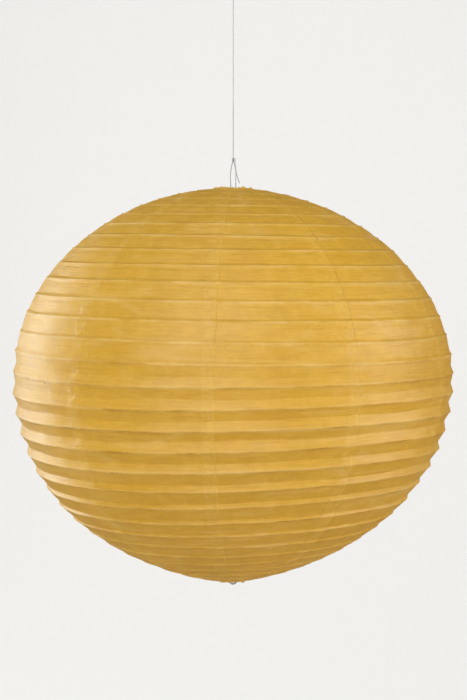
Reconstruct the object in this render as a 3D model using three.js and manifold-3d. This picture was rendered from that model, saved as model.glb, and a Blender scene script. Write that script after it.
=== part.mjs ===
// Round paper lantern hung from a nylon line. Millimetres, +Z up.
// The origin is the cut top end of the line, on the lantern's axis.
import * as THREE from 'three';
import { mergeVertices } from 'three/addons/utils/BufferGeometryUtils.js';
import Module from 'manifold-3d';

const wasm = await Module();
wasm.setup();

// Globe
const DIAMETER = 400;
const UPPER_HEIGHT = 173; // from the widest place up to where the outline would meet the axis
const LOWER_HEIGHT = 186; // and down
const UPPER_EXPONENT = 1.97; // the outline is a superellipse; 2 would make it an ellipse
const MIDDLE_EXPONENT = 1.95; // just below the widest place
const BOTTOM_EXPONENT = 1.68; // near the bottom, which comes to a blunt cone
const CONE_SHARPNESS = 4; // the higher, the later the outline turns into that cone
const MOUTH_RADIUS = 18; // outside of the paper at both mouths
const HOOP_COUNT = 30;
const TOP_COLLAR = 14.5; // paper from the top mouth ring to the first hoop
const GORE_COUNT = 10;

// Paper
const PAPER = 0.3;
const PLEAT_SLACK = 4; // how far slack paper falls inside the line between two hoops
const PLEAT_LEAST = 1.5; // shallower pleats are left straight
const TAUT_ABOVE = 0.4; // heights, from -1 at the bottom to 1 at the top: taut above the first,
const SLACK_BELOW = -0.1; // fully slack below the second
const VALLEY_PLACE = 0.5; // where the valley lies, as a share of the way down to the next hoop
const GAP = 0.3;

// Wire radii
const HOOP_WIRE = 0.5;
const MOUTH_WIRE = 0.8;
const FRAME_WIRE = 0.8;

// Nylon line
const NYLON = 0.4; // radius
const KNOT_DROP = 200; // from the cut top end to the knot
const KNOT_RADIUS = 1.4;
const KNOT_FACETS = [8, 6]; // around and from pole to pole
const KNOT_STRETCH = new THREE.Vector3(0.9, 0.8, 1.3);
const LOOP_LENGTH = 27; // from the knot to the eye's wire
const LOOP_HALF_WIDTH = 2.25;
const SHOULDER_DROP = 7; // from the knot down to the loop's shoulders
const SHOULDER_HALF_WIDTH = 1.8;
const TAIL_END = new THREE.Vector3(5.65, -2, -21); // from the knot
const TAIL_BEND = new THREE.Vector3(2.85, -1.6, -11);

// Expander frame
const EYE_RADIUS = 3;
const EYE_DROP = 0.5; // the top of the eye lies this far below the top mouth ring
const ARM_END = MOUTH_RADIUS + 1;
const ARM_FLAT = 11; // the arms run level from here outwards, under the ring
const ARM_LOW = 5; // from the axis to the arms' lowest point
const ARM_DIP = 7.5; // from the top of the eye down to that point
const LEG_SPREAD = 9; // each leg's distance from the axis
const LEG_TAPER = 30; // the legs run together over this height
const TIP_RADIUS = 4;
const TIP_DROP = 5; // how far the point hangs below the paper's lower edge

// Facets
const SEGMENTS = 30; // around the globe: hoop corners, paper corners and seams share these angles
const SEAM_TURN = (2 * Math.PI) / SEGMENTS; // the first seam, turned from +X
const HOOP_SIDES = 3;
const ROUND_SIDES = 6;
const BEND_STEPS = 8;
const OUTLINE_SAMPLES = 4000; // for measuring along the outline

const EYE_Z = -KNOT_DROP - LOOP_LENGTH;
const TOP_RING_Z = EYE_Z + EYE_DROP;
const ARM_Z = TOP_RING_Z - MOUTH_WIRE - FRAME_WIRE - GAP;

const MATERIALS = {
  paper: material(0xd3a750, 0.85, 0),
  wire: material(0xa8a59d, 0.45, 1),
  frame: material(0xb9b7b0, 0.35, 1),
  nylon: material(0xe6e8ea, 0.25, 0),
};

function material(color, roughness, metalness) {
  return new THREE.MeshStandardMaterial({ color, roughness, metalness });
}

// A point of the globe's outline. Height runs from -1 at the bottom to 1 at the top.
function outline(height) {
  const share = Math.abs(height);
  const cone = THREE.MathUtils.lerp(MIDDLE_EXPONENT, BOTTOM_EXPONENT, share ** CONE_SHARPNESS);
  const exponent = height > 0 ? UPPER_EXPONENT : cone;
  const across = (1 - share ** exponent) ** (1 / exponent);
  return new THREE.Vector2((DIAMETER / 2) * across, height * (height > 0 ? UPPER_HEIGHT : LOWER_HEIGHT));
}

// The height at which the outline has narrowed to a mouth, upwards or downwards, by halving.
function mouthHeight(direction) {
  let wide = 0;
  let narrow = direction;
  while (Math.abs(narrow - wide) > 1e-9) {
    const middle = (wide + narrow) / 2;
    if (outline(middle).x > MOUTH_RADIUS) {
      wide = middle;
    } else {
      narrow = middle;
    }
  }
  return wide;
}

// The points where the rings lie: even steps along the outline, after the short top collar.
function ringPoints() {
  const samples = [];
  const top = Math.asin(mouthHeight(1));
  const bottom = Math.asin(mouthHeight(-1));
  for (let i = 0; i <= OUTLINE_SAMPLES; i += 1) {
    samples.push(outline(Math.sin(THREE.MathUtils.lerp(top, bottom, i / OUTLINE_SAMPLES))));
  }
  const lengths = [0];
  for (let i = 1; i < samples.length; i += 1) {
    lengths.push(lengths[i - 1] + samples[i].distanceTo(samples[i - 1]));
  }
  const total = lengths[lengths.length - 1];
  const pitch = (total - TOP_COLLAR) / HOOP_COUNT;
  const stations = [0];
  for (let i = 0; i <= HOOP_COUNT; i += 1) {
    stations.push(TOP_COLLAR + i * pitch);
  }
  return stations.map((station) => {
    const index = lengths.findIndex((length) => length >= station - 1e-6);
    return samples[index < 0 ? samples.length - 1 : index].clone();
  });
}

const RINGS = ringPoints();
const GLOBE_Z = TOP_RING_Z - RINGS[0].y + PAPER + GAP + MOUTH_WIRE;

// The outward direction of the outline at ring i, from its two neighbours.
function ringNormal(i) {
  const before = RINGS[Math.max(i - 1, 0)];
  const after = RINGS[Math.min(i + 1, RINGS.length - 1)];
  const along = after.clone().sub(before).normalize();
  return new THREE.Vector2(-along.y, along.x);
}

// The centre of a ring's wire, which lies just inside the paper.
function wireCentre(i, wireRadius) {
  const inset = PAPER + GAP + wireRadius;
  return RINGS[i].clone().addScaledVector(ringNormal(i), -inset);
}

// The paper is taut at the top, where it carries the most, and slack from the middle down.
function pleatDepth(y) {
  const height = y / (y > 0 ? UPPER_HEIGHT : LOWER_HEIGHT);
  return PLEAT_SLACK * (1 - THREE.MathUtils.smoothstep(height, SLACK_BELOW, TAUT_ABOVE));
}

// The pleated outer profile: a ridge at each ring, and a valley between two rings where slack.
function paperProfile() {
  const profile = [RINGS[0].clone()];
  for (let i = 1; i < RINGS.length; i += 1) {
    const upper = RINGS[i - 1];
    const lower = RINGS[i];
    const span = upper.distanceTo(lower);
    const along = lower.clone().sub(upper).normalize();
    const outward = new THREE.Vector2(-along.y, along.x);
    const depth = pleatDepth((upper.y + lower.y) / 2);
    if (depth > PLEAT_LEAST) {
      const valley = upper.clone().addScaledVector(along, VALLEY_PLACE * span);
      profile.push(valley.addScaledVector(outward, -depth));
    }
    profile.push(lower.clone());
  }
  return profile;
}

function toManifold(geometry) {
  const bare = geometry.clone();
  bare.deleteAttribute('normal');
  bare.deleteAttribute('uv');
  const merged = mergeVertices(bare, 1e-4);
  const mesh = new wasm.Mesh({
    numProp: 3,
    vertProperties: new Float32Array(merged.attributes.position.array),
    triVerts: new Uint32Array(merged.index.array),
  });
  return new wasm.Manifold(mesh);
}

function toGeometry(solid) {
  const mesh = solid.getMesh();
  const geometry = new THREE.BufferGeometry();
  geometry.setAttribute('position', new THREE.BufferAttribute(mesh.vertProperties, 3));
  geometry.setIndex(new THREE.BufferAttribute(mesh.triVerts, 1));
  geometry.computeVertexNormals();
  return geometry;
}

// The whole paper skin as one thin ring-shaped shell about Z, before it is cut into gores.
function paperSkin() {
  const outer = paperProfile();
  const inner = outer.map((point, i) => {
    const before = outer[Math.max(i - 1, 0)];
    const after = outer[Math.min(i + 1, outer.length - 1)];
    const along = after.clone().sub(before).normalize();
    return point.clone().add(new THREE.Vector2(along.y, -along.x).multiplyScalar(PAPER));
  });
  const loop = [...outer, ...inner.reverse(), outer[0].clone()];
  const skin = new THREE.LatheGeometry(loop.reverse(), SEGMENTS, Math.PI / 2);
  skin.rotateX(Math.PI / 2);
  return toManifold(skin);
}

// A wedge from the axis outwards that keeps half a gap to both neighbouring wedges.
function goreWedge(index) {
  const half = Math.PI / GORE_COUNT;
  const tip = GAP / 2 / Math.sin(half);
  const reach = DIAMETER;
  const shape = new THREE.Shape();
  shape.moveTo(tip, 0);
  shape.lineTo(tip + reach * Math.cos(half), -reach * Math.sin(half));
  shape.lineTo(tip + reach * Math.cos(half), reach * Math.sin(half));
  shape.closePath();
  const wedge = new THREE.ExtrudeGeometry(shape, { depth: 2 * DIAMETER, bevelEnabled: false });
  wedge.translate(0, 0, -DIAMETER);
  wedge.rotateZ((2 * index + 1) * half + SEAM_TURN);
  return toManifold(wedge);
}

function paperGores() {
  const skin = paperSkin();
  const gores = [];
  for (let i = 0; i < GORE_COUNT; i += 1) {
    const gore = part(`paper_gore_${label(i + 1)}`, toGeometry(skin.intersect(goreWedge(i))), 'paper');
    gore.position.z = GLOBE_Z;
    gores.push(gore);
  }
  return gores;
}

function label(number) {
  return String(number).padStart(2, '0');
}

function part(name, geometry, finish) {
  const mesh = new THREE.Mesh(geometry, MATERIALS[finish]);
  mesh.name = name;
  return mesh;
}

// A closed wire ring lying flat inside the paper at ring i.
function wireRing(name, i, wireRadius) {
  const centre = wireCentre(i, wireRadius);
  const ring = part(name, new THREE.TorusGeometry(centre.x, wireRadius, HOOP_SIDES, SEGMENTS), 'wire');
  ring.position.z = GLOBE_Z + centre.y;
  return ring;
}

function ribHoops() {
  const hoops = [];
  for (let i = 1; i <= HOOP_COUNT; i += 1) {
    hoops.push(wireRing(`rib_hoop_${label(i)}`, i, HOOP_WIRE));
  }
  return hoops;
}

// A curve through given points, sampled at those points only, for a wire with long straight runs.
class WireCurve extends THREE.Curve {
  constructor(points) {
    super();
    this.points = points;
  }

  getPoint(t, target = new THREE.Vector3()) {
    const place = t * (this.points.length - 1);
    const index = Math.min(Math.floor(place), this.points.length - 2);
    return target.lerpVectors(this.points[index], this.points[index + 1], place - index);
  }

  getPointAt(u, target) {
    return this.getPoint(u, target);
  }

  getTangentAt(u, target = new THREE.Vector3()) {
    const index = Math.round(u * (this.points.length - 1));
    const before = this.points[Math.max(index - 1, 0)];
    const after = this.points[Math.min(index + 1, this.points.length - 1)];
    return target.subVectors(after, before).normalize();
  }
}

function wireAlong(points, radius) {
  const section = new THREE.Shape();
  for (let i = 0; i < ROUND_SIDES; i += 1) {
    const angle = (2 * Math.PI * i) / ROUND_SIDES;
    const x = radius * Math.cos(angle);
    const y = radius * Math.sin(angle);
    if (i === 0) {
      section.moveTo(x, y);
    } else {
      section.lineTo(x, y);
    }
  }
  section.closePath();
  const path = new WireCurve(points);
  return new THREE.ExtrudeGeometry(section, { steps: points.length - 1, extrudePath: path });
}

// Points along an arc in the plane of two axes, from one angle to another.
function arcPoints(centre, radius, from, to, steps, place) {
  const points = [];
  for (let i = 0; i <= steps; i += 1) {
    const angle = from + ((to - from) * i) / steps;
    points.push(place(centre.x + radius * Math.cos(angle), centre.y + radius * Math.sin(angle)));
  }
  return points;
}

const acrossY = (side, up) => new THREE.Vector3(0, side, up);
const acrossX = (side, up) => new THREE.Vector3(side, 0, up);

// The points of a quarter arc in the YZ plane, from its side to just short of the axis,
// where its mirror image takes over with one level step.
function quarterArc(radius, centreZ, stop) {
  const halfStep = Math.PI / 2 / (BEND_STEPS - 1) / 2;
  const end = stop > Math.PI ? stop - halfStep : stop + halfStep;
  return arcPoints(new THREE.Vector2(0, centreZ), radius, Math.PI, end, BEND_STEPS / 2, acrossY);
}

// A line of points continued by its mirror image on the other side of the axis.
function mirrored(points) {
  const others = points.map((point) => new THREE.Vector3(point.x, -point.y, point.z));
  return [...points, ...others.reverse()];
}

// The expander: two arms under the top mouth ring with an eye between them, and a long
// hairpin welded to the arms, whose point hangs just through the bottom mouth.
function wireExpander() {
  const arms = mirrored([
    acrossY(-ARM_END, ARM_Z),
    acrossY(-ARM_FLAT, ARM_Z),
    acrossY(-ARM_LOW, EYE_Z - ARM_DIP),
    ...quarterArc(EYE_RADIUS, EYE_Z - EYE_RADIUS, 0.5 * Math.PI),
  ]);
  const tip = GLOBE_Z + RINGS[RINGS.length - 1].y - TIP_DROP;
  const legs = mirrored([
    acrossY(-LEG_SPREAD, ARM_Z - FRAME_WIRE),
    acrossY(-LEG_SPREAD, tip + LEG_TAPER),
    ...quarterArc(TIP_RADIUS, tip + TIP_RADIUS, 1.5 * Math.PI),
  ]);
  const frame = toManifold(wireAlong(arms, FRAME_WIRE)).add(toManifold(wireAlong(legs, FRAME_WIRE)));
  return part('wire_expander', toGeometry(frame), 'frame');
}

// The nylon line: a straight run, a knot, a long narrow loop through the eye, and a cut tail.
function suspensionLine() {
  const knotPlace = acrossX(0, -KNOT_DROP);
  const knot = new THREE.SphereGeometry(KNOT_RADIUS, ...KNOT_FACETS);
  knot.scale(...KNOT_STRETCH);
  knot.translate(...knotPlace);
  const run = wireAlong([knotPlace, acrossX(0, 0)], NYLON);
  const bendZ = EYE_Z - FRAME_WIRE - GAP - NYLON + LOOP_HALF_WIDTH;
  const bendCentre = new THREE.Vector2(0, bendZ);
  const shoulder = acrossX(-SHOULDER_HALF_WIDTH, -KNOT_DROP - SHOULDER_DROP);
  const loop = [
    acrossX(-NYLON, -KNOT_DROP),
    shoulder,
    ...arcPoints(bendCentre, LOOP_HALF_WIDTH, Math.PI, 2 * Math.PI, BEND_STEPS, acrossX),
    acrossX(-shoulder.x, shoulder.z),
    acrossX(NYLON, -KNOT_DROP),
  ];
  const tail = [new THREE.Vector3(), TAIL_BEND, TAIL_END].map((point) => point.clone().add(knotPlace));
  const line = [knot, run, wireAlong(loop, NYLON), wireAlong(tail, NYLON)]
    .map(toManifold)
    .reduce((whole, piece) => whole.add(piece));
  return part('suspension_line', toGeometry(line), 'nylon');
}

const lantern = new THREE.Group();
lantern.add(
  suspensionLine(),
  wireExpander(),
  wireRing('top_mouth_ring', 0, MOUTH_WIRE),
  wireRing('bottom_mouth_ring', HOOP_COUNT + 1, MOUTH_WIRE),
  ...ribHoops(),
  ...paperGores(),
);

export default lantern;
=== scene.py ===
"""A round pleated paper lantern on wire hoops, hung from a nylon line. Metres, in the frame of the CAD."""
import math

import bpy
import numpy as np
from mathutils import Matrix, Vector


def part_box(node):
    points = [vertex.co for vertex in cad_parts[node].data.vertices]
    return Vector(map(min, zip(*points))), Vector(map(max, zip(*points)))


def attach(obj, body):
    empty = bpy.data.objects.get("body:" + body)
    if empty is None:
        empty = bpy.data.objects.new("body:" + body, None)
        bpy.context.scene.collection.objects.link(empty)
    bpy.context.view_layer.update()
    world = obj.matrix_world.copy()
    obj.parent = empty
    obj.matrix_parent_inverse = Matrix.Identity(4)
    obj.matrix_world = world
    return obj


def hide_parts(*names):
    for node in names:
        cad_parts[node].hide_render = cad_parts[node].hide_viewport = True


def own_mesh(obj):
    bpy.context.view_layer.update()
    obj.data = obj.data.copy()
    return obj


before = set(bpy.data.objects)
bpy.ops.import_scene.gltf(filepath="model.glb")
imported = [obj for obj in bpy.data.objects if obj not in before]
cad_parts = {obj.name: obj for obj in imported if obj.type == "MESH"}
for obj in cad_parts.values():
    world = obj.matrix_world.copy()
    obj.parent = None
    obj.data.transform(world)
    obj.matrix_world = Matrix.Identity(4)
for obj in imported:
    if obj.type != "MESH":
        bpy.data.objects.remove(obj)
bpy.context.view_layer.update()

MM = 0.001
HOOP_COUNT = 30
GORE_COUNT = 10
HOOP_WIRE = 0.5 * MM
MOUTH_WIRE = 0.8 * MM
FRAME_WIRE = 0.8 * MM
NYLON = 0.4 * MM
PAPER = 0.14 * MM
RIDGE_GAP = 0.1 * MM  # between a hoop's wire and the ridge of paper over it
SHEET_GAP = 0.03 * MM  # between the two papers of a glued seam
GLUED_DOWN = 0.06 * MM  # how far a seam's torn edge sinks into the glue
OVERLAP = 11 * MM  # width of that seam
NARROWED = 0.24  # most of a gore's width that a seam takes, which narrows it near the mouths
TORN = 0.9 * MM  # how far a seam's torn edge wanders
FIRST_SEAM = math.radians(12)
GORE_ANGLE = 2 * math.pi / GORE_COUNT
GORE_COLUMNS = 72
EDGE_CROWDING = 0.09  # how far the columns crowd towards a gore's two edges
RING_SEGMENTS = 180
HEM_STEPS = (1, 0.6, 0.25)  # shares of the hem's length, from its free edge

# Pleats, by height: -1 at the bottom mouth, 0 at the widest place, 1 at the top mouth
PLEAT_HEIGHTS = (-1, -0.8, -0.62, -0.5, -0.37, -0.25, 0.04, 0.2, 1)
PLEAT_DEPTHS = (0.5, 0.7, 1.4, 2.1, 3.0, 3.5, 2.3, 1.1, 0.8)  # millimetres
VALLEY_PLACES = (0.91, 0.9, 0.88, 0.83, 0.68, 0.54, 0.52, 0.84, 0.86)  # 0 upper hoop, 1 lower hoop
TAUTNESS = (0, 0, 0, 0, 0, 0, 0.4, 1, 1)  # 1 where the weight below pulls the paper nearly flat
LEAN_HEIGHTS = (-1, -0.5, -0.1, 0.15, 1)
LEANS = (-0.009, -0.009, 0, 0.011, 0.013)  # slopes of the hoops
WARPS = (2.5, 3, 2, 0, 0)  # millimetres out of flat, on the widest hoop
PLEAT_CURL = 0.2  # 0 makes both faces of a pleat flat
# The mesh rows of a pleat, closer together at its hoops and at its valley, which is 0.5
PLEAT_STEPS = (0, 0.05, 0.14, 0.26, 0.38, 0.46, 0.5, 0.54, 0.62, 0.74, 0.86, 0.95)


# ---------------------------------------------------------------- mesh helpers

def new_piece(name, vertices, faces, smooth=True):
    """A mesh object from plain arrays, linked to the scene."""
    mesh = bpy.data.meshes.new(name)
    mesh.from_pydata([tuple(v) for v in vertices], [], [tuple(f) for f in faces])
    mesh.validate()
    mesh.polygons.foreach_set("use_smooth", [smooth] * len(mesh.polygons))
    piece = bpy.data.objects.new(name, mesh)
    bpy.context.scene.collection.objects.link(piece)
    return piece


def tube_arrays(points, radius, sides, closed=False):
    """Vertices and faces of a round wire along points, with flat ends unless it is closed."""
    points = np.asarray(points, float)
    count = len(points)
    if closed:
        tangents = np.roll(points, -1, 0) - np.roll(points, 1, 0)
    else:
        tangents = np.gradient(points, axis=0)
    tangents /= np.linalg.norm(tangents, axis=1)[:, None]
    start = np.cross(tangents[0], (0.0, 0.0, 1.0))
    if np.linalg.norm(start) < 1e-3:
        start = np.cross(tangents[0], (0.0, 1.0, 0.0))
    side = start / np.linalg.norm(start)
    angles = 2 * np.pi * np.arange(sides) / sides
    rings = []
    for tangent, point in zip(tangents, points):
        side = side - tangent * side.dot(tangent)
        side /= np.linalg.norm(side)
        up = np.cross(tangent, side)
        circle = np.cos(angles)[:, None] * side + np.sin(angles)[:, None] * up
        rings.append(point + radius * circle)
    faces = []
    for i in range(count if closed else count - 1):
        here, there = i * sides, (i + 1) % count * sides
        for j in range(sides):
            k = (j + 1) % sides
            faces.append((here + j, here + k, there + k, there + j))
    if not closed:
        faces.append(tuple(reversed(range(sides))))
        faces.append(tuple((count - 1) * sides + j for j in range(sides)))
    return np.concatenate(rings), faces


def joined_arrays(parts):
    """Several vertex and face arrays as one."""
    vertices, faces, offset = [], [], 0
    for part_vertices, part_faces in parts:
        vertices.append(part_vertices)
        faces += [tuple(i + offset for i in face) for face in part_faces]
        offset += len(part_vertices)
    return np.concatenate(vertices), faces


def smooth_path(points, per_span=10):
    """A Catmull-Rom curve through the points."""
    points = np.asarray(points, float)
    padded = np.vstack([2 * points[0] - points[1], points, 2 * points[-1] - points[-2]])
    path = []
    for i in range(1, len(padded) - 2):
        a, b, c, d = padded[i - 1 : i + 3]
        for t in np.linspace(0, 1, per_span, endpoint=False):
            path.append(
                0.5 * (2 * b + (c - a) * t + (2 * a - 5 * b + 4 * c - d) * t**2
                       + (3 * b - a - 3 * c + d) * t**3)
            )
    path.append(points[-1])
    return np.array(path)


def noise(u, v, cells_u, cells_v, seed):
    """Smooth noise from -1 to 1 over u and v in 0..1. It repeats around u."""
    grid = np.random.default_rng(seed).uniform(-1, 1, (cells_u, cells_v + 2))
    x, y = (u % 1) * cells_u, np.clip(v, 0, 1) * cells_v
    i, j = np.floor(x).astype(int), np.floor(y).astype(int)
    s, t = x - i, y - j
    s, t = s * s * (3 - 2 * s), t * t * (3 - 2 * t)
    i, k = i % cells_u, (i + 1) % cells_u
    near = grid[i, j] * (1 - s) + grid[k, j] * s
    far = grid[i, j + 1] * (1 - s) + grid[k, j + 1] * s
    return near * (1 - t) + far * t


def ease(x, low, high):
    """0 up to low, 1 from high, and smooth between them."""
    t = np.clip((x - low) / (high - low), 0, 1)
    return t * t * (3 - 2 * t)


# ---------------------------------------------------------------- rings, from the frame

def ring_node(i):
    if i == 0:
        return "top_mouth_ring"
    if i == HOOP_COUNT + 1:
        return "bottom_mouth_ring"
    return f"rib_hoop_{i:02d}"


def ring_wire(i):
    return MOUTH_WIRE if i in (0, HOOP_COUNT + 1) else HOOP_WIRE


def ring_centre(i):
    """Radius and height of ring i's wire centre."""
    low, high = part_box(ring_node(i))
    return high.x - ring_wire(i), (low.z + high.z) / 2


RINGS = np.array([ring_centre(i) for i in range(HOOP_COUNT + 2)])
SPANS = np.linalg.norm(np.diff(RINGS, axis=0), axis=1)
TOP_Z = RINGS[0, 1]
BOTTOM_Z = RINGS[-1, 1]
WIDEST_R, WIDEST_Z = RINGS[RINGS[:, 0].argmax()]
HEIGHTS = np.interp(RINGS[:, 1], (BOTTOM_Z, WIDEST_Z, TOP_Z), (-1, 0, 1))


def outward(points):
    """The outward direction at each point of an outline that runs downwards."""
    along = np.gradient(points, axis=0)
    along /= np.linalg.norm(along, axis=1)[:, None]
    return np.stack([-along[:, 1], along[:, 0]], 1)


OUTWARD = outward(RINGS)


# ---------------------------------------------------------------- paper

def by_height(row, values):
    """A pleat's value, from values listed at PLEAT_HEIGHTS. Rows count the pleats from the top."""
    middles = (HEIGHTS[1:] + HEIGHTS[:-1]) / 2
    return np.interp(middles[row], PLEAT_HEIGHTS, values)


def place_in_pleat(turn, row, step):
    """Where a mesh row lies between two hoops; step 0.5 is the valley, which wanders a little."""
    valley = by_height(row, VALLEY_PLACES) + 0.05 * noise(turn, row / HOOP_COUNT, 30, 30, 13)
    return np.where(step < 0.5, 2 * step * valley, 1 - 2 * (1 - step) * (1 - valley))


def sag(turn, row, step):
    """How far the paper lies inside the straight line between two hoops."""
    down = row / HOOP_COUNT
    depth = MM * by_height(row, PLEAT_DEPTHS)
    depth = depth * (1 + 0.16 * noise(turn, down, 22, 30, 11) + 0.08 * noise(turn, down, 64, 30, 12))
    tent = 1 - np.abs(2 * step - 1)
    return depth * (tent * (1 + PLEAT_CURL) - PLEAT_CURL * tent**2)


def tuck(row, place):
    """The paper is pinched in just under each hoop, most of all where it is taut."""
    below = place * SPANS[row] / MM
    return MM * (0.25 + 0.45 * by_height(row, TAUTNESS)) * below * np.exp(1 - below)


def seam_distance(turn, radius):
    """Distance along the paper to the nearest seam's middle."""
    angle = (turn * 2 * np.pi - FIRST_SEAM + GORE_ANGLE / 2) % GORE_ANGLE - GORE_ANGLE / 2
    return np.abs(angle) * radius


def seam_half_width(radius):
    return np.minimum(OVERLAP, NARROWED * radius * GORE_ANGLE) / 2


def crease_lines(turn, down, around, rows, seed):
    """Thin lines, mostly running around the lantern, where smooth noise crosses zero."""
    line = 1 - np.abs(noise(turn, down, around, rows, seed))
    return line**7 * np.clip(2 * noise(turn, down, 17, 23, seed + 100), 0, 1)


def stray_folds(turn, down):
    """Creases left by folding and packing, slanting either way."""
    falling = crease_lines(turn + 0.12 * down, down, 16, 62, 24)
    rising = crease_lines(turn - 0.14 * down, down, 14, 50, 25)
    return np.clip(falling + rising, 0, 1)


def wrinkles(turn, row, place, radius):
    """Small creases, which die out at the hoops, and stand closer beside the seams."""
    down = (row + place) / (HOOP_COUNT + 1)
    free = np.sin(np.pi * place) ** 0.7
    broad = 0.18 * MM * noise(turn, down, 90, 90, 21)
    fine = 0.08 * MM * noise(turn, down, 300, 240, 22)
    beside = np.exp(-((seam_distance(turn, radius) / (9 * MM)) ** 2))
    gather = 0.6 * MM * beside * noise(turn + 0.02 * place, down, 190, 130, 23)
    return free * (broad + fine + gather - 0.4 * MM * stray_folds(turn, down))


def hoop_wander(i, turn):
    """How far a hand-bent hoop strays from its true circle, outwards and upwards."""
    spot = i / (HOOP_COUNT + 1)
    share = RINGS[i, 0] / WIDEST_R
    out = 0.5 * MM * noise(turn, spot, 7, HOOP_COUNT + 1, 31) * share
    up = 0.5 * MM * noise(turn, spot, 6, HOOP_COUNT + 1, 32) * share
    return out, up + lean(i, turn)


def lean(i, turn):
    """The paper is a little longer on the -X side, so the hoops tilt, and the lower ones are warped."""
    angle = turn * 2 * np.pi
    tilt = np.interp(HEIGHTS[i], LEAN_HEIGHTS, LEANS) * RINGS[i, 0]
    warp = MM * np.interp(HEIGHTS[i], LEAN_HEIGHTS, WARPS) * RINGS[i, 0] / WIDEST_R
    return -tilt * np.cos(angle) - warp * np.sin(2 * angle)


def paper_rows():
    """The row and step of every mesh row, from the top ring to the bottom one."""
    rows = np.repeat(np.arange(HOOP_COUNT + 1), len(PLEAT_STEPS))
    steps = np.tile(PLEAT_STEPS, HOOP_COUNT + 1)
    return np.append(rows, HOOP_COUNT), np.append(steps, 1.0)


def paper_surface(turn, row, step, lift):
    """Points of the paper's inner face, raised by lift, and each point's place and radius."""
    ridge_lift = np.array([ring_wire(i) for i in range(len(RINGS))]) + RIDGE_GAP
    ridge = RINGS + OUTWARD * ridge_lift[:, None]
    upper = ridge[row] + np.stack(hoop_wander(row, turn), -1)
    lower = ridge[row + 1] + np.stack(hoop_wander(row + 1, turn), -1)
    along = lower - upper
    along = along / np.linalg.norm(along, axis=-1, keepdims=True)
    away = np.stack([-along[..., 1], along[..., 0]], -1)
    place = place_in_pleat(turn, row, step)
    flat = upper + (lower - upper) * place[..., None]
    radius = flat[..., 0]
    offset = lift - sag(turn, row, step) - tuck(row, place) + wrinkles(turn, row, place, radius)
    outline = flat + away * offset[..., None]
    angle = turn * 2 * np.pi
    x = outline[..., 0] * np.cos(angle)
    y = outline[..., 0] * np.sin(angle)
    return np.stack([x, y, outline[..., 1]], -1), place, radius


def gore_grid(index):
    """Grids of turn, row and step for one gore, and how far its second edge is into its lap."""
    rows, steps = paper_rows()
    radii = np.interp(rows + steps, np.arange(len(RINGS)), RINGS[:, 0])
    half = seam_half_width(radii) / radii
    torn = noise(index / GORE_COUNT, (rows + steps) / len(RINGS), GORE_COUNT, 160, 14)
    uneven = TORN * torn / radii
    start = FIRST_SEAM + index * GORE_ANGLE - half
    stop = FIRST_SEAM + (index + 1) * GORE_ANGLE + half + uneven
    across = np.linspace(0, 1, GORE_COLUMNS + 1)
    across = across - EDGE_CROWDING * np.sin(2 * np.pi * across)
    angle = start[:, None] + (stop - start)[:, None] * across[None, :]
    from_edge = (stop[:, None] - angle) * radii[:, None]
    shape = angle.shape
    row_grid = np.broadcast_to(rows[:, None], shape)
    step_grid = np.broadcast_to(steps[:, None], shape)
    return angle / (2 * np.pi), row_grid, step_grid, from_edge, 2 * half[:, None] * radii[:, None]


def grid_faces(rows, columns, offset=0, flip=False):
    """Quads over a grid of vertices; flip turns them to face inwards."""
    i = np.arange(rows - 1)[:, None] * columns + np.arange(columns - 1)[None, :] + offset
    quads = np.stack([i, i + columns, i + columns + 1, i + 1], -1).reshape(-1, 4)
    return quads[:, ::-1] if flip else quads


def rim_faces(rows, columns):
    """Faces that close a sheet's outer and inner grids along their common edge."""
    top = np.arange(columns)
    right = np.arange(rows) * columns + columns - 1
    bottom = (rows - 1) * columns + np.arange(columns)[::-1]
    left = (np.arange(rows) * columns)[::-1]
    loop = np.concatenate([top[:-1], right[:-1], bottom[:-1], left[:-1]])
    after = np.roll(loop, -1)
    depth = rows * columns
    return np.stack([loop, after, after + depth, loop + depth], -1)


def sheet_normals(points):
    """The outward direction at each point of a grid that runs down and around."""
    down = np.gradient(points, axis=0)
    across = np.gradient(points, axis=1)
    normal = np.cross(down, across)
    return normal / np.linalg.norm(normal, axis=-1, keepdims=True)


def paper_gore(index):
    """One gore as a thin closed sheet, with its pleats and creases in the mesh.

    Its second edge laps over the next gore, and is torn thin and glued down there."""
    turn, row, step, from_edge, overlap = gore_grid(index)
    lap = 1 - ease(from_edge, overlap + 0.6 * MM, overlap + 3.6 * MM)
    lift = lap * (PAPER + SHEET_GAP) - GLUED_DOWN * (1 - ease(from_edge, 0, 2 * MM))
    inner, place, radius = paper_surface(turn, row, step, lift)
    inner = np.concatenate([hem(inner[0], turn[0], 1), inner, hem(inner[-1], turn[-1], -1)[::-1]])
    turn, row, place, radius, from_edge = (with_hems(grid) for grid in (turn, row, place, radius, from_edge))
    thickness = PAPER * (0.3 + 0.7 * ease(from_edge, 0, 2.5 * MM))
    outer = inner + sheet_normals(inner) * thickness[..., None]
    rows, columns = turn.shape
    vertices = np.concatenate([outer.reshape(-1, 3), inner.reshape(-1, 3)])
    rim = rim_faces(rows, columns)
    faces = np.concatenate([
        grid_faces(rows, columns),
        grid_faces(rows, columns, rows * columns, flip=True),
        rim,
    ])
    piece = new_piece(f"paper_gore_{index + 1:02d}_sheet", vertices, faces)
    for polygon in piece.data.polygons[len(faces) - len(rim):]:
        polygon.use_smooth = False
    # Painted shade and painted highlight along the hoops, kept as point attributes.
    hoop_shade, hoop_highlight = hoop_shade_and_highlight(row, place)
    fill_attribute(piece, "hoop_shade", hoop_shade)
    fill_attribute(piece, "hoop_highlight", hoop_highlight)
    fill_attribute(piece, "fold", stray_folds(turn, (row + place) / (HOOP_COUNT + 1)))
    fill_attribute(piece, "seam", seam_share(turn, radius))
    fill_attribute(piece, "flap", 1 - ease(from_edge, 0, 1.2 * MM))
    add_uv(piece, turn, row, place)
    return piece


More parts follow.
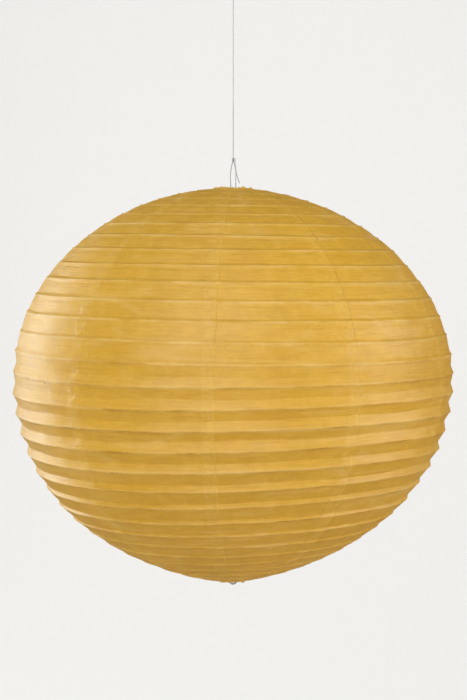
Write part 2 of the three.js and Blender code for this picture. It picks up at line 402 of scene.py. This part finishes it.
def hem(edge, turn, up):
    """The ragged hem past a mouth ring, from its free edge to the ring. up is 1 or -1."""
    length = MM * (1.5 + 0.9 * noise(turn, 0.3, 70, 3, 41) + 0.5 * noise(turn, 0.7, 190, 3, 42))
    rise = math.radians(30) + 0.6 * noise(turn, 0.5, 24, 3, 43)
    angle = turn * 2 * np.pi
    inward = -np.stack([np.cos(angle), np.sin(angle), np.zeros(len(angle))], -1)
    direction = inward * np.cos(rise)[:, None]
    direction[:, 2] = up * np.sin(rise)
    return edge + np.array(HEM_STEPS)[:, None, None] * length[:, None] * direction


def with_hems(grid):
    """A grid over the paper with its first and last rows repeated for the hems."""
    count = len(HEM_STEPS)
    return np.concatenate([np.repeat(grid[:1], count, 0), grid, np.repeat(grid[-1:], count, 0)])


def hoop_shade_and_highlight(row, place):
    """Shares of painted shade and of painted highlight along the hoops.

    The slack paper is creased just under each hoop, and the taut paper just above it, and the shade is
    painted along those creases."""
    taut = by_height(row, TAUTNESS)
    below, above = place * SPANS[row] / MM, (1 - place) * SPANS[row] / MM
    # Painted shade: a dark line just under each slack hoop, and a fainter one just above each taut hoop.
    hoop_shade = (1 - taut) * np.exp(-below / 1.2) + 0.3 * taut * np.exp(-((above - 2) ** 2))
    # Painted highlight: a pale line along every hoop's ridge, strongest where the paper is taut.
    hoop_highlight = (0.6 + 0.4 * taut) * (np.exp(-((below / 0.9) ** 2)) + np.exp(-((above / 0.9) ** 2)))
    return hoop_shade, hoop_highlight


def seam_share(turn, radius):
    """1 where two sheets overlap, 0 elsewhere."""
    half = seam_half_width(radius)
    return 1 - ease(seam_distance(turn, radius), half - 0.6 * MM, half + 0.6 * MM)


def fill_attribute(piece, name, values):
    """One number for each point of a sheet's grid, the same on its outer and inner faces."""
    layer = piece.data.attributes.new(name, "FLOAT", "POINT")
    layer.data.foreach_set("value", np.tile(values.ravel(), 2).astype(np.float32))


def add_uv(piece, turn, row, place):
    """UVs in even units of paper: u runs around the lantern and v down it."""
    u = turn * 2 * np.pi * WIDEST_R
    lengths = np.append(0, np.cumsum(SPANS))
    v = np.interp(row + place, np.arange(len(RINGS)), lengths)
    uv = np.tile(np.stack([u, v], -1).reshape(-1, 2), (2, 1))
    layer = piece.data.uv_layers.new(name="paper")
    corners = np.zeros(len(piece.data.loops), np.int64)
    piece.data.loops.foreach_get("vertex_index", corners)
    layer.data.foreach_set("uv", uv[corners].astype(np.float32).ravel())


# ---------------------------------------------------------------- wires and line

def wire_ring(i):
    """A hoop or mouth ring, as far from a true circle as hoop_wander says."""
    radius, height = RINGS[i]
    angles = np.linspace(0, 2 * np.pi, RING_SEGMENTS, endpoint=False)
    out, up = hoop_wander(i, angles / (2 * np.pi))
    reach = radius + out
    points = np.stack([reach * np.cos(angles), reach * np.sin(angles), height + up], 1)
    return new_piece(f"{ring_node(i)}_wire", *tube_arrays(points, ring_wire(i), 10, closed=True))


def arc(centre, radius, start, stop, count):
    """Points along an arc in a plane."""
    angles = np.linspace(start, stop, count)
    return [(centre[0] + radius * math.cos(a), centre[1] + radius * math.sin(a)) for a in angles]


def wire_expander():
    """One wire makes the arms and the eye between them, and another the long hairpin."""
    low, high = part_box("wire_expander")
    eye_radius = 3 * MM
    eye_z = high.z - FRAME_WIRE
    arm_z = TOP_Z - MOUTH_WIRE - FRAME_WIRE - 0.3 * MM
    end = high.y
    leg = 9 * MM
    tip_radius = 4 * MM
    half_arm = [(-end, arm_z), (-leg - 2 * MM, arm_z), (-5 * MM, eye_z - 7.2 * MM),
                (-3.5 * MM, eye_z - 6.4 * MM)]
    eye = arc((0, eye_z - eye_radius), eye_radius, math.pi, 0, 9)
    outline = half_arm + eye + [(-y, z) for y, z in reversed(half_arm)]
    arms = smooth_path([(0, y, z) for y, z in outline], 6)
    tip = low.z + FRAME_WIRE
    twist = math.radians(60)  # the bend at the tip is not quite in the legs' plane
    bend = arc((0, tip + tip_radius), tip_radius, math.pi, 2 * math.pi, 9)
    bend = [(y * math.sin(twist), y * math.cos(twist), z) for y, z in bend]
    heights = (arm_z - 1 * MM, arm_z - 60 * MM, tip + 80 * MM, tip + 30 * MM)
    near = [(0, -leg, z) for z in heights]
    far = [(0, leg, z) for z in reversed(heights)]
    legs = smooth_path(near + bend + far, 8)
    parts = [tube_arrays(arms, FRAME_WIRE, 12), tube_arrays(legs, FRAME_WIRE, 12)]
    return new_piece("wire_expander_frame", *joined_arrays(parts))


def suspension_line():
    """One nylon line: a straight run, a wrapped knot, a long loop and a cut tail."""
    low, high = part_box("suspension_line")
    knot_z = -200 * MM
    run = [(0, 0, high.z), (0, 0, high.z - 60 * MM), (0, 0, knot_z + 60 * MM), (0, 0, knot_z + 3 * MM)]
    half = 2.25 * MM
    bottom = low.z + 0.4 * MM
    right = [(0.2 * MM, 0, knot_z), (1.4 * MM, 0, knot_z - 5 * MM), (half, 0, knot_z - 11 * MM),
             (half, 0, bottom + half + 3 * MM)]
    bend = [(x, 0, z) for x, z in arc((0, bottom + half), half, 0, -math.pi, 7)]
    left = [(-half, 0, bottom + half + 3 * MM), (-half * 1.15, 0, knot_z - 14 * MM),
            (-1.5 * MM, 0, knot_z - 5 * MM), (-0.8 * MM, 0.3 * MM, knot_z - 2.4 * MM)]
    wrap_radius = 0.78 * MM
    knot_length = 3.8 * MM
    wraps = []
    for share in np.linspace(0, 1, 25):
        angle = math.pi + share * 6 * math.pi
        height = knot_z + (share - 0.5) * knot_length
        wraps.append((wrap_radius * math.cos(angle), wrap_radius * math.sin(angle), height))
    tail = [(1.5 * MM, -0.6 * MM, knot_z + 1.2 * MM), (1.7 * MM, -1.2 * MM, knot_z - 2 * MM),
            (2.4 * MM, -1.4 * MM, knot_z - 9 * MM), (3.4 * MM, -1.6 * MM, knot_z - 14 * MM),
            (5.6 * MM, -2 * MM, knot_z - 20.6 * MM)]
    path = smooth_path(run + right + bend + left + wraps + tail, 7)
    return new_piece("suspension_line_nylon", *tube_arrays(path, NYLON, 10))


# ---------------------------------------------------------------- materials

def new_material(name):
    material = bpy.data.materials.new(name)
    material.use_nodes = True
    tree = material.node_tree
    tree.nodes.clear()
    return material, tree


def add(tree, kind, **values):
    """A node with its sockets set by name, from values or from other nodes' sockets."""
    node = tree.nodes.new(kind)
    for name, value in values.items():
        if name.startswith("set_"):
            setattr(node, name[4:], value)
            continue
        socket = node.inputs[int(name[1:]) if name[0] == "i" and name[1:].isdigit() else name]
        if isinstance(value, bpy.types.NodeSocket):
            tree.links.new(value, socket)
        else:
            socket.default_value = value
    return node


def attribute(tree, name):
    return add(tree, "ShaderNodeAttribute", set_attribute_name=name).outputs["Fac"]


def maths(tree, operation, a, b=0.0):
    return add(tree, "ShaderNodeMath", set_operation=operation, i0=a, i1=b).outputs[0]


def stretched(tree, source, around, down):
    """Texture coordinates with their own scale around and down the lantern."""
    scale = add(tree, "ShaderNodeMapping", Vector=source)
    scale.inputs["Scale"].default_value = (around, down, 1)
    return scale.outputs[0]


def texture(tree, vector, scale, detail=4.0, roughness=0.55):
    node = add(tree, "ShaderNodeTexNoise", Vector=vector, Scale=scale, Detail=detail, Roughness=roughness)
    return node.outputs[0]


def ramp(tree, value, low, high, out_low, out_high):
    """The value moved from low..high to out_low..out_high, and clamped there."""
    node = add(tree, "ShaderNodeMapRange", Value=value)
    for name, number in zip(("From Min", "From Max", "To Min", "To Max"), (low, high, out_low, out_high)):
        node.inputs[name].default_value = number
    return node.outputs[0]


def mixed_colour(tree, share, first, second):
    """The first colour, with this share of the second."""
    node = tree.nodes.new("ShaderNodeMix")
    node.data_type = "RGBA"
    for socket, value in ((node.inputs[0], share), (node.inputs[6], first), (node.inputs[7], second)):
        if isinstance(value, bpy.types.NodeSocket):
            tree.links.new(value, socket)
        else:
            socket.default_value = value
    return node.outputs[2]


def paper_textures(tree):
    """The noises that the paper's colour and relief share. Uv is in metres, around and down."""
    place = add(tree, "ShaderNodeTexCoord").outputs["Object"]
    uv = add(tree, "ShaderNodeUVMap", set_uv_map="paper").outputs[0]
    return {
        "place": place,
        "cloud": texture(tree, place, 11, 3),
        "mottle": texture(tree, place, 90, 5, 0.65),
        "streaks": texture(tree, stretched(tree, uv, 26, 420), 1.0, 5, 0.7),
        "fibres": texture(tree, stretched(tree, uv, 60, 1500), 1.0, 4, 0.7),
        "uneven": texture(tree, stretched(tree, uv, 22, 70), 1.0, 5, 0.7),
        "crumple": texture(tree, place, 420, 3, 0.6),
    }


def dyed_colour(tree, noises):
    """Yellow dye that took unevenly, with darker streaks and paler fibres."""
    cloudy = ramp(tree, noises["cloud"], 0.35, 0.65, 0, 1)
    mottled = ramp(tree, noises["mottle"], 0.42, 0.66, 0, 0.6)
    streaked = ramp(tree, noises["streaks"], 0.5, 0.7, 0, 0.6)
    fibrous = ramp(tree, noises["fibres"], 0.5, 0.7, 0, 0.5)
    colour = mixed_colour(tree, cloudy, (0.71, 0.40, 0.018, 1), (0.77, 0.445, 0.026, 1))
    colour = mixed_colour(tree, mottled, colour, (0.83, 0.515, 0.05, 1))
    colour = mixed_colour(tree, streaked, colour, (0.61, 0.30, 0.01, 1))
    return mixed_colour(tree, fibrous, colour, (0.88, 0.58, 0.09, 1))


def worn_colour_and_painted_light(tree, noises, colour, seam):
    """Painted shade and painted highlight along the hoops, pale folds, glue patches on the seams, and a few
    specks.
    """
    # Painted shade along the hoops, made patchy by noise.
    shade_breakup = ramp(tree, noises["uneven"], 0.42, 0.62, 0.05, 0.8)
    painted_shade = maths(tree, "MULTIPLY", attribute(tree, "hoop_shade"), shade_breakup)
    # Painted highlight along the hoops' ridges, made patchy by noise.
    highlight_breakup = ramp(tree, noises["uneven"], 0.38, 0.62, 0.7, 0)
    painted_highlight = maths(tree, "MULTIPLY", attribute(tree, "hoop_highlight"), highlight_breakup)
    folds = maths(tree, "MULTIPLY", attribute(tree, "fold"), 0.3)
    glue = maths(tree, "MULTIPLY", seam, ramp(tree, noises["crumple"], 0.4, 0.62, 0, 0.3))
    cell = add(tree, "ShaderNodeTexVoronoi", Vector=noises["place"], Scale=24).outputs["Distance"]
    # Dark brown painted shade along the hoops.
    colour = mixed_colour(tree, painted_shade, colour, (0.48, 0.19, 0.005, 1))
    # Pale painted highlight along the hoops, and pale stray folds.
    colour = mixed_colour(tree, maths(tree, "ADD", painted_highlight, folds), colour, (0.92, 0.68, 0.24, 1))
    colour = mixed_colour(tree, glue, colour, (0.88, 0.58, 0.12, 1))
    return mixed_colour(tree, ramp(tree, cell, 0.014, 0.026, 0.75, 0), colour, (0.16, 0.08, 0.03, 1))


def paper_relief(tree, noises, seam):
    """Streaks and fibres in relief, and paper rumpled by the glue at the seams."""
    height = maths(tree, "ADD", noises["streaks"], maths(tree, "MULTIPLY", noises["fibres"], 0.5))
    rumpled = maths(tree, "MULTIPLY", noises["crumple"], ramp(tree, seam, 0, 1, 0.25, 1.0))
    height = maths(tree, "ADD", height, rumpled)
    return add(tree, "ShaderNodeBump", Height=height, Strength=0.6, Distance=0.0006).outputs[0]


def paper_material():
    """Thin dyed tissue with a soft sheen, which lets some light through."""
    material, tree = new_material("lantern_paper")
    noises = paper_textures(tree)
    seam = attribute(tree, "seam")
    colour = worn_colour_and_painted_light(tree, noises, dyed_colour(tree, noises), seam)
    bump = paper_relief(tree, noises, seam)
    rough = ramp(tree, noises["mottle"], 0.3, 0.7, 0.38, 0.52)
    front = add(tree, "ShaderNodeBsdfPrincipled", Roughness=rough, Normal=bump)
    tree.links.new(colour, front.inputs["Base Color"])
    front.inputs["Specular IOR Level"].default_value = 0.8
    through = add(tree, "ShaderNodeBsdfTranslucent", Normal=bump)
    tree.links.new(colour, through.inputs["Color"])
    share = ramp(tree, attribute(tree, "flap"), 0, 1, 0.32, 0.28)
    mix = add(tree, "ShaderNodeMixShader", Fac=share, i1=front.outputs[0], i2=through.outputs[0])
    add(tree, "ShaderNodeOutputMaterial", Surface=mix.outputs[0])
    return material


def wire_material(name, bright, dull, roughness):
    """Drawn steel wire: fine lines, dull patches and a little brown."""
    material, tree = new_material(name)
    place = add(tree, "ShaderNodeTexCoord").outputs["Object"]
    patches = texture(tree, place, 160, 5, 0.6)
    lines = texture(tree, place, 2400, 3, 0.7)
    colour = mixed_colour(tree, ramp(tree, patches, 0.35, 0.7, 0, 1), bright, dull)
    rough = ramp(tree, patches, 0.3, 0.7, roughness - 0.08, roughness + 0.15)
    bump = add(tree, "ShaderNodeBump", Height=lines, Strength=0.3, Distance=0.00005).outputs[0]
    metal = add(tree, "ShaderNodeBsdfPrincipled", Metallic=1.0, Roughness=rough, Normal=bump)
    tree.links.new(colour, metal.inputs["Base Color"])
    add(tree, "ShaderNodeOutputMaterial", Surface=metal.outputs[0])
    return material


def nylon_material():
    """Clear monofilament, slightly milky, with faint scuffs."""
    material, tree = new_material("nylon_line")
    place = add(tree, "ShaderNodeTexCoord").outputs["Object"]
    scuff = texture(tree, place, 900, 4, 0.6)
    scuffed = ramp(tree, scuff, 0.4, 0.7, 0, 1)
    colour = mixed_colour(tree, scuffed, (0.5, 0.52, 0.55, 1), (0.34, 0.36, 0.39, 1))
    rough = ramp(tree, scuff, 0.3, 0.7, 0.12, 0.3)
    surface = add(tree, "ShaderNodeBsdfPrincipled", Roughness=rough, IOR=1.53)
    tree.links.new(colour, surface.inputs["Base Color"])
    surface.inputs["Transmission Weight"].default_value = 0.25
    add(tree, "ShaderNodeOutputMaterial", Surface=surface.outputs[0])
    return material


# ---------------------------------------------------------------- assembly


def finish_piece(piece, body, slot, material, *nodes):
    """Gives a piece its material, the CAD nodes that it replaces and the body it rides; slot is not used."""
    piece.data.materials.append(material)
    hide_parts(*nodes)
    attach(piece, body)


def ring_body(i):
    if i == 0:
        return "globe_top"
    return "bottom_ring" if i == HOOP_COUNT + 1 else f"hoop_{i:02d}"


def build_lantern():
    paper = paper_material()
    hoop = wire_material("hoop_steel", (0.55, 0.53, 0.5, 1), (0.34, 0.3, 0.25, 1), 0.35)
    galvanised = wire_material("frame_steel", (0.66, 0.66, 0.65, 1), (0.48, 0.47, 0.45, 1), 0.3)
    for index in range(GORE_COUNT):
        piece = paper_gore(index)
        finish_piece(piece, "globe_top", "paper", paper, f"paper_gore_{index + 1:02d}")
        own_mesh(piece)
    for i in range(HOOP_COUNT + 2):
        ring = wire_ring(i)
        finish_piece(ring, ring_body(i), "hoop_wire", hoop, ring_node(i))
        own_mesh(ring)
    finish_piece(wire_expander(), "expander", "frame_wire", galvanised, "wire_expander")
    finish_piece(suspension_line(), "line", "nylon", nylon_material(), "suspension_line")


# ---------------------------------------------------------------- stage

def camera_ray(tree):
    return add(tree, "ShaderNodeLightPath").outputs["Is Camera Ray"]


def camera_only(tree, seen, unseen):
    """One number for what the camera sees, and another for the light that falls on the lantern."""
    return ramp(tree, camera_ray(tree), 0, 1, unseen, seen)


def stage_material():
    """Matt and pale. To the camera it glows evenly, so that the lights leave no patches on it."""
    material, tree = new_material("stage_pale")
    surface = add(tree, "ShaderNodeBsdfPrincipled", Roughness=0.9)
    colour = mixed_colour(tree, camera_ray(tree), (0.8, 0.77, 0.72, 1), (0.28, 0.275, 0.27, 1))
    tree.links.new(colour, surface.inputs["Base Color"])
    surface.inputs["Specular IOR Level"].default_value = 0.1
    surface.inputs["Emission Color"].default_value = (1, 0.99, 0.97, 1)
    tree.links.new(camera_only(tree, 0.66, 0.06), surface.inputs["Emission Strength"])
    add(tree, "ShaderNodeOutputMaterial", Surface=surface.outputs[0])
    return material


def floor_and_backdrop():
    """A floor that curves up into a wall behind the lantern."""
    floor_z = -1.4
    wall_y = 2.6
    wall_height = 5.0
    reach = 40.0  # to either side, and behind the camera
    bend = 1.2
    profile = [(-reach, floor_z)]
    profile += arc((wall_y - bend, floor_z + bend), bend, -math.pi / 2, 0, 13)
    profile.append((wall_y, floor_z + wall_height))
    vertices = [(x, y, z) for y, z in profile for x in (-reach, reach)]
    faces = [(2 * i, 2 * i + 1, 2 * i + 3, 2 * i + 2) for i in range(len(profile) - 1)]
    sweep = new_piece("backdrop", vertices, faces)
    sweep.data.materials.append(stage_material())
    sweep.visible_glossy = False


def area_light(name, place, target, size, power, colour):
    data = bpy.data.lights.new(name, "AREA")
    data.shape = "RECTANGLE"
    data.size, data.size_y = size
    data.energy = power
    data.color = colour
    light = bpy.data.objects.new(name, data)
    light.location = place
    light.visible_camera = False
    light.rotation_euler = (Vector(target) - Vector(place)).to_track_quat("-Z", "Y").to_euler()
    bpy.context.scene.collection.objects.link(light)


def lights():
    centre = (0, 0, WIDEST_Z)
    area_light("key", (-0.4, -1.95, 0.7), centre, (2.2, 1.5), 35.5, (0.98, 1, 1.03))
    area_light("above", (-0.2, -0.6, 1.2), centre, (1.8, 1.8), 9, (1, 0.99, 0.97))
    area_light("low", (-0.2, -1.8, -0.85), centre, (2.0, 0.4), 8, (1, 0.95, 0.84))
    area_light("left", (-1.65, 0.95, -0.25), centre, (1.2, 1.7), 36, (0.94, 1, 0.98))
    area_light("right", (1.9, -0.3, -0.1), centre, (1.2, 1.4), 24, (1, 0.99, 0.97))


def soft_room():
    """Pale light from all round."""
    world = bpy.data.worlds.new("soft_room")
    world.use_nodes = True
    tree = world.node_tree
    background = tree.nodes["Background"]
    background.inputs["Color"].default_value = (1, 0.985, 0.96, 1)
    tree.links.new(camera_only(tree, 0.8, 0.18), background.inputs["Strength"])
    bpy.context.scene.world = world
    bpy.context.scene.view_settings.view_transform = "Standard"


def camera():
    """Eye level is at the lantern's shoulder, from about four lantern widths away."""
    data = bpy.data.cameras.new("camera")
    data.sensor_fit = "VERTICAL"
    data.sensor_height = 36
    data.lens = 92.6
    eye = bpy.data.objects.new("camera", data)
    eye.location = (0.0002, -1.635, TOP_Z - 0.0463)
    eye.rotation_euler = (math.pi / 2 - math.radians(3.463), 0, 0)
    bpy.context.scene.collection.objects.link(eye)
    bpy.context.scene.camera = eye


build_lantern()
floor_and_backdrop()
lights()
soft_room()
camera()
